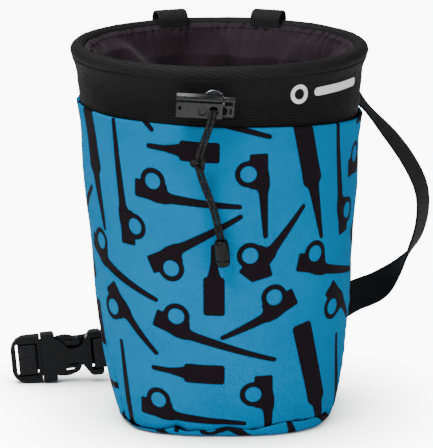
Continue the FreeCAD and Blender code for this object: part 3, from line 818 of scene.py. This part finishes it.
def rounded_line(points, radius, step=0.35):
    """Straight runs joined by arcs, for webbing folded round a bar."""
    points = [np.asarray(p, float) for p in points]
    line = [points[0]]
    for before, point, after in zip(points, points[1:], points[2:]):
        back, ahead = unit(before - point), unit(after - point)
        half_turn = (math.pi - math.acos(np.clip(back @ ahead, -1, 1))) / 2
        reach = radius * math.tan(half_turn)
        middle = point + unit(back + ahead) * radius / math.cos(half_turn)
        start, end = point + back * reach, point + ahead * reach
        for t in np.linspace(0, 1, 9):
            arm = (1 - t) * (start - middle) + t * (end - middle)
            line.append(middle + unit(arm) * radius)
    line = np.array([*line, points[-1]])
    whole = running_length(line, 0)[-1]
    return on_line(line, np.linspace(0, whole, max(8, int(whole / step))))


def webbing(name, line, across, material, thickness=WEBBING_THICK):
    """Woven strap along a line; across is its width direction, for all or for each point."""
    heading = unit(np.gradient(line, axis=0))
    across = unit(across - heading * np.sum(across * heading, axis=1, keepdims=True))
    normal = np.cross(heading, across)
    half, edge = WEBBING_WIDTH / 2, thickness / 2
    flat = np.linspace(-(half - edge), half - edge, 9)
    bend = np.radians([-60, -30, 0, 30, 60])
    ring = [(u, edge) for u in flat]
    ring += [(half - edge + edge * math.cos(a), edge * math.sin(a)) for a in bend[::-1]]
    ring += [(-u, -v) for u, v in ring]
    ring = np.array(ring)
    run = running_length(line, 0)
    points = line[:, None, :] + across[:, None, :] * ring[None, :, :1]
    points = points + normal[:, None, :] * ring[None, :, 1:]
    u = np.concatenate([ring[:, 0], ring[:1, 0]])
    piece = grid_mesh(name, points, flat_grid(u, run), material, "webbing", wrap=True)
    close_ends(piece, len(line), len(ring))
    return piece


def close_ends(piece, rows, columns):
    """Fill the two cut ends of a tube made of rows."""
    mesh = bmesh.new()
    mesh.from_mesh(piece.data)
    mesh.verts.ensure_lookup_table()
    mesh.faces.new(mesh.verts[:columns][::-1])
    mesh.faces.new(mesh.verts[(rows - 1) * columns:])
    mesh.to_mesh(piece.data)
    mesh.free()


LOOP_SIDES = (("left", -LOOP_OFFSET), ("right", LOOP_OFFSET))
LOOP_OUT, LOOP_IN = 4.1, -5.9      # the loop's two legs, measured outward from the collar
LOOP_THICK = 1.2
THREAD_LIFT = 0.05                 # the thread's line stands this far off the webbing


def collar_frame(x):
    """Point on the back of the collar and the direction away from it."""
    y = COLLAR_BACK_R * DEPTH_RATIO * math.sqrt(1 - (x / COLLAR_BACK_R) ** 2)
    foot = np.array([x, y, 0.0])
    return foot, outward(foot)


def belt_loops(material):
    """Two loops sewn inside the rim and outside the collar, folded over the rim."""
    outline = [(LOOP_IN, 169.8), (LOOP_IN, 183.0), (LOOP_OUT, 183.0), (LOOP_OUT, 155.4), (1.5, 151.6)]
    for side, x in LOOP_SIDES:
        foot, direction = collar_frame(x)
        line = rounded_line([foot + direction * n + UP * z for n, z in outline], 4.0)
        loop = webbing("Belt_loop_" + side, line, np.cross(direction, UP), material, LOOP_THICK)
        stands_for(loop, "bag", "belt_loop_" + side)


# ---------------------------------------------------------------- buckle frame
BUCKLE_PLACE = np.array([-87.0, 49.1, 12.2])
BUCKLE_RISE, BUCKLE_YAW = math.radians(5.0), math.radians(4.0)
SEWN_PLY = 0.72             # each ply of the sewn end lies this far from the middle


def buckle_axes():
    along = np.array([
        math.cos(BUCKLE_RISE) * math.cos(BUCKLE_YAW), math.cos(BUCKLE_RISE) * math.sin(BUCKLE_YAW),
        math.sin(BUCKLE_RISE),
    ])
    through = np.array([-math.sin(BUCKLE_YAW), math.cos(BUCKLE_YAW), 0.0])
    return along, through, np.cross(along, through)


def buckle_webbing(material):
    along, through, up = buckle_axes()

    def placed(outline):
        return [BUCKLE_PLACE + along * x + through * y for x, y in outline]

    sewn = rounded_line(placed([
        (45.0, SEWN_PLY), (33.8, SEWN_PLY), (31.0, 2.65), (26.0, 2.65), (26.0, -2.65), (31.0, -2.65),
        (33.8, -SEWN_PLY), (45.0, -SEWN_PLY),
    ]), 1.2)
    stands_for(webbing("Belt_fixed_end", sewn, up, material), "bag", "belt_fixed_end")
    threaded = rounded_line(placed([
        (8.0, 6.9), (-10.9, 6.9), (-10.9, -2.5), (-3.0, -2.5), (-3.0, 5.0), (30.0, 5.0),
    ]), 1.0)
    stands_for(webbing("Belt_free_end", threaded, up, material), "buckle_male", "belt_free_end")


# Stations along the waist belt: middle point, then width direction.
BELT_STATIONS = [
    ((-41.9, 53.0, 16.3), (-0.09, 0.0, 1.0)),
    ((-18.0, 57.6, 17.6), (-0.05, 0.0, 1.0)),
    ((8.0, 59.6, 19.0), (-0.1, 0.05, 1.0)),
    ((32.0, 58.2, 24.0), (-0.3, 0.1, 0.95)),
    ((51.0, 54.2, 33.0), (-0.5, 0.15, 0.8)),
    ((65.0, 49.5, 42.8), (-0.6, 0.25, 0.8)),
    ((77.5, 43.5, 50.0), (-0.6, 0.7, 0.5)),
    ((86.5, 38.0, 60.0), (-0.2, 1.0, 0.1)),
    ((93.8, 33.5, 73.0), (0.3, 1.0, -0.1)),
    ((97.6, 30.5, 87.0), (0.45, 1.0, 0.0)),
    ((97.2, 29.5, 101.0), (0.45, 1.0, 0.1)),
    ((91.5, 30.8, 114.0), (0.4, 1.0, 0.15)),
    ((82.0, 35.0, 127.0), (0.3, 0.95, 0.1)),
    ((69.5, 42.5, 140.0), (0.1, 0.9, 0.0)),
    ((57.0, 48.8, 149.5), (0.0, 0.6, 0.7)),
    ((44.5, 53.0, 157.5), (0.0, 0.05, 1.0)),
    ((32.8, 57.1, 161.3), (0.0, 0.0, 1.0)),
    ((24.6, 60.6, 162.5), (0.0, 0.0, 1.0)),
    ((16.4, 63.0, 162.5), (0.0, 0.0, 1.0)),
    ((0.0, 64.8, 162.5), (0.0, 0.0, 1.0)),
    ((-16.4, 63.0, 162.5), (0.0, 0.0, 1.0)),
    ((-24.6, 60.6, 162.5), (0.0, 0.0, 1.0)),
    ((-33.1, 57.0, 161.3), (0.0, 0.0, 1.0)),
    ((-41.0, 56.5, 155.5), (-0.1, 0.1, 1.0)),
    ((-46.5, 62.5, 146.0), (-0.3, 0.4, 0.8)),
    ((-48.0, 75.0, 131.0), (-0.6, 0.5, 0.5)),
    ((-46.0, 88.0, 113.0), (-0.8, 0.5, 0.2)),
    ((-43.0, 96.0, 90.0), (-0.8, 0.5, 0.0)),
    ((-41.5, 96.5, 66.0), (-0.8, 0.5, -0.1)),
    ((-41.5, 91.0, 44.0), (-0.7, 0.5, -0.4)),
    ((-45.0, 81.0, 27.0), (-0.4, 0.5, -0.7)),
    ((-53.0, 70.0, 17.0), (-0.1, 0.3, -1.0)),
    ((-65.0, 61.2, 13.8), (0.05, 0.0, -1.0)),
    ((-78.2, 56.7, 13.1), (0.09, 0.0, -1.0)),
]


def waist_belt(material):
    """Belt through both loops, from the bag round to the male buckle half."""
    stations = np.array([[*place, *width] for place, width in BELT_STATIONS])
    stations[:, 3:] = unit(stations[:, 3:])
    line = smooth_line(stations, 720)
    belt = webbing("Waist_belt", line[:, :3], line[:, 3:], material)
    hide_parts("waist_belt")
    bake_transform(belt)


# ---------------------------------------------------------------- drawcord
HANG_ROUTE = [
    (-2.6, -70.6, 160.4), (-3.0, -73.6, 159.2), (-4.2, -74.2, 154.6), (-6.7, -74.0, 147.6),
    (-8.8, -71.3, 140.9), (-9.4, -68.1, 135.2), (-8.3, -65.9, 128.6), (-5.5, -64.6, 121.2),
    (-2.7, -63.8, 113.7), (-0.8, -63.4, 106.0), (0.6, -63.1, 98.9),
]
NECK_ROUTE = [
    (-2.6, -55.6, 163.2), (-2.6, -60.0, 163.0), (-2.6, -64.6, 162.2), (-2.6, -67.4, 160.7),
    (-2.6, -69.6, 160.4),
]
STRAND_OFFSET = 0.95
CAP_HEIGHT = 3.4            # closed end of the cord end
CORD_END_TOP, CORD_END_BOTTOM = np.array([0.7, -63.0, 98.4]), np.array([2.0, -62.4, 85.8])


def route_line(route, shift):
    """Points read from the route's NURBS spline, moved along X by shift, in mm."""
    data = bpy.data.curves.new("route", "CURVE")
    data.dimensions = "3D"
    data.resolution_u = 24
    spline = data.splines.new("NURBS")
    spline.points.add(len(route) - 1)
    for point, (x, y, z) in zip(spline.points, route):
        point.co = ((x + shift) * MM, y * MM, z * MM, 1.0)
    spline.order_u = 3
    spline.use_endpoint_u = True
    holder = add_object("route", data)
    bpy.context.view_layer.update()
    mesh = bpy.data.meshes.new_from_object(holder)
    line = np.array([v.co for v in mesh.vertices]) / MM
    bpy.data.objects.remove(holder)
    bpy.data.meshes.remove(mesh)
    return line


def spokes(first, second, sides):
    """Unit directions evenly round the plane of two directions."""
    turns = np.linspace(0, 2 * math.pi, sides + 1)[:-1, None]
    return np.cos(turns) * first + np.sin(turns) * second


def round_tube(name, line, radius, material, slot, sides=14):
    """Tube along a line with a flat pattern in mm, closed at both ends."""
    heading = unit(np.gradient(line, axis=0))
    normal = np.cross(heading[0], [0.3, 1.0, 0.2])
    rings = []
    for place, direction in zip(line, heading):
        normal = unit(normal - direction * (normal @ direction))
        rings.append(place + radius * spokes(normal, np.cross(direction, normal), sides))
    u = np.linspace(0, 2 * math.pi * radius, sides + 1)
    run = running_length(line, 0)
    piece = grid_mesh(name, np.array(rings), flat_grid(u, run), material, slot, wrap=True)
    close_ends(piece, len(line), sides)
    return piece


def turned(name, profile, start, end, material, slot, sides=48):
    """Turned piece from (radius, distance) points along the line from start to end."""
    axis = unit(end - start)
    first = unit(np.cross(axis, [0, 1, 0]))
    ring = spokes(first, np.cross(axis, first), sides)
    points = np.array([start + axis * z + r * ring for r, z in profile])
    u = np.linspace(0, 20, sides + 1)
    v = running_length(np.array(profile), 0)
    return grid_mesh(name, points, flat_grid(u, v), material, slot, wrap=True)


def knot_line(scale):
    """Overhand knot: one trefoil turn, seen from the front as three lobes."""
    t = np.linspace(0, 2 * math.pi, 140)
    x = (np.sin(t) + 2 * np.sin(2 * t)) * scale[0]
    z = (np.cos(t) - 2 * np.cos(2 * t)) * scale[2]
    y = -np.sin(3 * t) * scale[1]
    turn = math.radians(22)
    cosine, sine = math.cos(turn), math.sin(turn)
    return np.stack([x * cosine - z * sine, y, x * sine + z * cosine], axis=-1)


def cord_knot(braid):
    """Overhand knot of the two strands, as two turns one inside the other."""
    pieces = []
    for name, scale in (("Knot_outer_turn", (1.12, 1.5, 1.12)), ("Knot_inner_turn", (0.74, 2.1, 0.78))):
        line = knot_line(scale) + np.array(HANG_ROUTE[5])
        turn = round_tube(name, line, CORD_D / 2 * 0.94, braid, "cord_sheath", 12)
        pieces.append(stands_for(turn, "drawcord_tail", "drawcord_knot"))
    return pieces


def cord_end(cord_plastic):
    """Moulded cord end: a sleeve that takes the strands and the cap that closes it."""
    seam = np.linalg.norm(CORD_END_BOTTOM - CORD_END_TOP) - CAP_HEIGHT
    sleeve = [(1.5, 2.0), (1.9, 0.3), (2.3, 0.0), (2.75, 0.15), (3.1, 0.8), (3.3, 2.2), (3.4, 4.5),
              (3.4, seam - 0.5), (3.3, seam - 0.15), (3.05, seam - 0.05)]
    cap = [(3.0, seam + 0.05), (3.25, seam + 0.15), (3.32, seam + 0.5), (3.2, seam + 1.7),
           (2.8, seam + 2.7), (2.1, seam + 3.25), (1.0, seam + CAP_HEIGHT), (0.05, seam + CAP_HEIGHT)]
    pieces = []
    for name, profile in (("sleeve", sleeve), ("cap", cap)):
        piece = turned("Cord_end_" + name, profile, CORD_END_TOP, CORD_END_BOTTOM, cord_plastic,
                       "cord_end_plastic")
        pieces.append(stands_for(piece, "drawcord_tail", "cord_end_" + name))
    return pieces


def drawcord(braid, cord_plastic):
    """Two strands with their knot and cord end, and the neck that runs back to the eyelet."""
    fittings = cord_knot(braid) + cord_end(cord_plastic)
    for side, sign in (("left", -1), ("right", 1)):
        line = route_line(HANG_ROUTE, sign * STRAND_OFFSET)
        strand = round_tube("Drawcord_strand_" + side, line, CORD_D / 2, braid, "cord_sheath")
        stands_for(strand, "drawcord_tail", "drawcord_strand_" + side)
        line = route_line(NECK_ROUTE, sign * STRAND_OFFSET)
        neck = round_tube("Drawcord_neck_" + side, line, CORD_D / 2, braid, "cord_sheath")
        stands_for(neck, "bag", "drawcord_neck")


# ---------------------------------------------------------------- hard parts kept from the CAD
def dress(node, material, edge=0.25):
    """Material and softened edges for a CAD node."""
    piece = frame["nodes"][node]
    piece.data.materials.clear()
    piece.data.materials.append(material)
    weld = piece.modifiers.new("Weld", "WELD")
    weld.merge_threshold = 0.00001
    if edge:
        bevel = piece.modifiers.new("Edges", "BEVEL")
        bevel.width = edge * MM
        bevel.segments = 2
        bevel.limit_method = "ANGLE"
        bevel.angle_limit = math.radians(38)
        bevel.harden_normals = True


def lock_coil():
    """Compression spring of the cord lock, made at one length."""
    coil_r, wire_r, pitch, coil_length, travel = 1.25, 0.22, 1.25, 9.8, 4.0
    middle = sum(node_box("cord_lock_spring")) / 2
    press = next(joint for joint in frame["joints"] if joint["name"] == "lock_button_press")
    axis = np.array(press["axis"])
    across = np.array([axis[2], 0, -axis[0]])
    turns = np.linspace(0, 2 * math.pi * coil_length / pitch, 190)
    fixed_end = middle + axis * coil_length / 2
    line = np.array([
        fixed_end - axis * pitch * turn / (2 * math.pi)
        + coil_r * (math.cos(turn) * across + math.sin(turn) * np.array([0, 1, 0])) for turn in turns
    ])
    # The steel is given a dark colour: painted shade, as the spring sits in shade inside the lock.
    steel = metal("Spring_steel", (0.20, 0.20, 0.21), 0.35)
    coil = round_tube("Lock_coil", line, wire_r, steel, "spring_steel", 8)
    stands_for(coil, "cord_lock", "cord_lock_spring")
    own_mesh(coil)


def hard_parts():
    """Finish of the CAD nodes that are shown as they are."""
    buckle = plastic("Buckle_plastic", (0.0015, 0.0015, 0.002), (0.004, 0.0038, 0.004), 0.27, 0.015, 0.12)
    lock = plastic("Lock_plastic", (0.004, 0.004, 0.0045), (0.009, 0.009, 0.0095), 0.26, 0.02, 0.40)
    eyelet = metal("Eyelet_metal", (0.42, 0.42, 0.44), 0.28)
    hoop = plastic("Hoop_plastic", (0.5, 0.5, 0.5), (0.6, 0.6, 0.6), 0.5, 0.02)
    for material, edge, nodes in (
        (buckle, 0.35, ("buckle_female", "buckle_male_frame", "buckle_prong_upper", "buckle_prong_lower")),
        (lock, 0.22, ("cord_lock_housing", "cord_lock_plunger")),
        (eyelet, 0.15, ("eyelet_flange", "eyelet_washer")),
        (hoop, 0, ("rim_hoop",)),
    ):
        for node in nodes:
            dress(node, material, edge)
    lock_coil()


# ---------------------------------------------------------------- stitching
def stitch_row(name, line, normals, material, stitch=2.3, gap=0.8, radius=0.22, nodes=()):
    """Row of thread stitches along a line, each diving into the cloth at both ends."""
    whole = running_length(line, 0)[-1]
    guide = np.concatenate([line, np.broadcast_to(normals, line.shape)], axis=1)
    vertices, faces, corners = [], [], []
    sides = 6
    steps = np.linspace(0, 1, 6)
    place = gap / 2
    while place + stitch < whole:
        new_faces, new_corners = grid_faces(len(steps), sides, True, len(vertices))
        faces += new_faces
        corners += new_corners[:, ::-1].tolist()
        for t in steps:
            centre, up = on_line(guide, place + stitch * t).reshape(2, 3)
            ahead = unit(on_line(line, place + stitch * t + 0.1) - centre)
            centre = centre + up * (0.30 * math.sin(math.pi * t) - 0.14)
            vertices += list(centre + radius * spokes(np.cross(up, ahead), up, sides))
        place += stitch + gap
    piece = finish_mesh(name, vertices, faces, corners, material)
    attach(piece, "bag")
    if nodes:
        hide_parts(*nodes)


def stitching(thread, sleeve_seam):
    """Visible seams: sleeve to rim, the bartacks of the belt loops and the belt's sewn end."""
    inward = -outward(sleeve_seam)
    stitch_row("Sleeve_stitches", sleeve_seam + inward * 0.2, inward, thread)
    for side, x in LOOP_SIDES:
        foot, direction = collar_frame(x)
        across = np.cross(UP, direction)
        above = direction * (LOOP_THICK / 2 + THREAD_LIFT)
        bartack = np.array([
            foot + direction * LOOP_OUT + above + across * u + UP * (156.0 + 0.55 * k)
            for k in range(5) for u in ((-6.2, 6.2) if k % 2 else (6.2, -6.2))
        ])
        stitch_row("Loop_bartack_" + side, bartack, direction, thread, 2.0, 0.3, 0.2,
                   ["loop_bartack_" + side])
        inner = np.array([
            foot + direction * LOOP_IN - above + across * u + UP * z
            for u, z in ((-6, 172.5), (6, 172.5), (6, 175.5), (-6, 175.5), (-6, 172.5))
        ])
        stitch_row("Loop_inner_stitches_" + side, inner, -direction, thread, 1.8, 0.5, 0.2)
    along, through, up = buckle_axes()
    face = BUCKLE_PLACE - through * (SEWN_PLY + WEBBING_THICK / 2 + THREAD_LIFT)
    box = np.array([
        face + along * x + up * w
        for x, w in ((35.5, -6), (43.5, 6), (43.5, -6), (35.5, 6), (35.5, -6), (43.5, -6))
    ])
    stitch_row("Belt_end_stitches", box, -through, thread, 2.0, 0.5, 0.2)


# ---------------------------------------------------------------- stage, light and camera
WHITE_GLOW = 9.0            # how bright the camera sees the floor and the background


def camera_ray(tree):
    """1 for what the camera sees and 0 for what lights the bag."""
    return Num(tree, add_node(tree, "LightPath").outputs["Is Camera Ray"])


def aim(thing, place, target):
    thing.location = place
    thing.rotation_euler = (Vector(target) - Vector(place)).to_track_quat("-Z", "Y").to_euler()


def stage():
    """White sweep. The camera sees it brighter than it lights the bag, as in a product
    photograph, and its glow is dimmed where something stands close to it: a painted contact shadow."""
    material, tree, shader = new_material("Paper", 0.1)
    fibre = speckle(tree, place_mm(tree), 2.5)
    # Ambient occlusion dims the floor's glow near the bag and its parts: a painted contact shadow.
    near = add_node(tree, "AmbientOcclusion", {"Distance": 0.06})
    painted_shadow_factor = Num(tree, near.outputs["AO"]).math("POWER", 2.6)
    set_inputs(tree, shader, {
        "Base Color": mix(tree, fibre, (0.90, 0.90, 0.90), (0.93, 0.93, 0.93)),
        "Roughness": 0.9,
        "Emission Color": (1.0, 1.0, 1.0, 1.0),
        "Emission Strength": painted_shadow_factor * camera_ray(tree) * WHITE_GLOW,
    })
    half, low = 6.0, -0.0004
    corners = [(-half, -half, low), (half, -half, low), (half, half, low), (-half, half, low)]
    data = bpy.data.meshes.new("Floor")
    data.from_pydata(corners, [], [(0, 1, 2, 3)])
    data.materials.append(material)
    add_object("Floor", data)


def area_light(name, place, target, size, power, spread=180):
    data = bpy.data.lights.new(name, "AREA")
    data.shape = "RECTANGLE"
    data.size, data.size_y = size
    data.energy = power
    data.spread = math.radians(spread)
    aim(add_object(name, data), place, target)


def lights():
    """Soft boxes above, left and right, a strip for the highlights and a low fill."""
    world = bpy.data.worlds.new("Studio")
    bpy.context.scene.world = world
    world.use_nodes = True
    tree = world.node_tree
    glow = camera_ray(tree) * WHITE_GLOW + 0.26
    set_inputs(tree, tree.nodes["Background"], {"Color": (1.0, 1.0, 1.0, 1.0), "Strength": glow})
    area_light("Top_box", (-0.35, 0.08, 1.2), (0, 0, 0.05), (1.0, 0.7), 17)
    area_light("Strip", (-0.3, -0.55, 0.85), (0, -0.06, 0.15), (0.35, 0.12), 6.5)
    area_light("Left_box", (-1.0, -1.3, 0.75), (0, 0, 0.09), (0.8, 1.1), 6)
    area_light("Right_box", (1.1, -1.1, 0.6), (0, 0, 0.09), (0.6, 1.1), 10.5)
    area_light("Low_box", (0.12, -0.55, 0.06), (0.01, 0, 0.02), (0.45, 0.12), 0.05, 50)


def camera():
    data = bpy.data.cameras.new("Camera")
    data.lens = 314
    data.sensor_width = 36
    data.clip_end = 50
    view = add_object("Camera", data)
    aim(view, (-0.0013, -1.8, 0.5209), (-0.0013, 0.0, 0.0911))
    bpy.context.scene.camera = view


# ---------------------------------------------------------------- the bag
def main():
    camera()
    lights()
    stage()
    shell = printed_cloth("Printed_cloth", (0.0, 0.0))
    collar = ribbed_cloth("Ribbed_cloth", 0.009, 0.12, print_and_top_light=True)
    # The roll is the collar's cloth with a lighter tone: painted light where the roll catches the light from
    # above.
    rolled = ribbed_cloth("Ribbed_cloth_roll", 0.015, 0.3)
    fleece = lining_cloth("Fleece", 0.9, (0.030, 0.020, 0.025), 0.5)
    thin_cloth = lining_cloth("Thin_cloth", 2.5, (0.024, 0.016, 0.020), 0.10)
    strap = webbing_material()
    thread = thread_material()
    shell_panel("Front_cloth", 1, shell, "shell_front_panel")
    shell_panel("Back_cloth", -1, shell, "shell_back_panel")
    base_cloth(shell)
    collar_cloth(collar)
    rim_roll(rolled)
    sleeve_seam = inside(fleece, thin_cloth)
    belt_loops(strap)
    buckle_webbing(strap)
    waist_belt(strap)
    cord_plastic = plastic("Cord_end_plastic", (0.003,) * 3, (0.008,) * 3, 0.30, 0.015, 0.15)
    drawcord(braid_material(), cord_plastic)
    hard_parts()
    stitching(thread, sleeve_seam)


main()
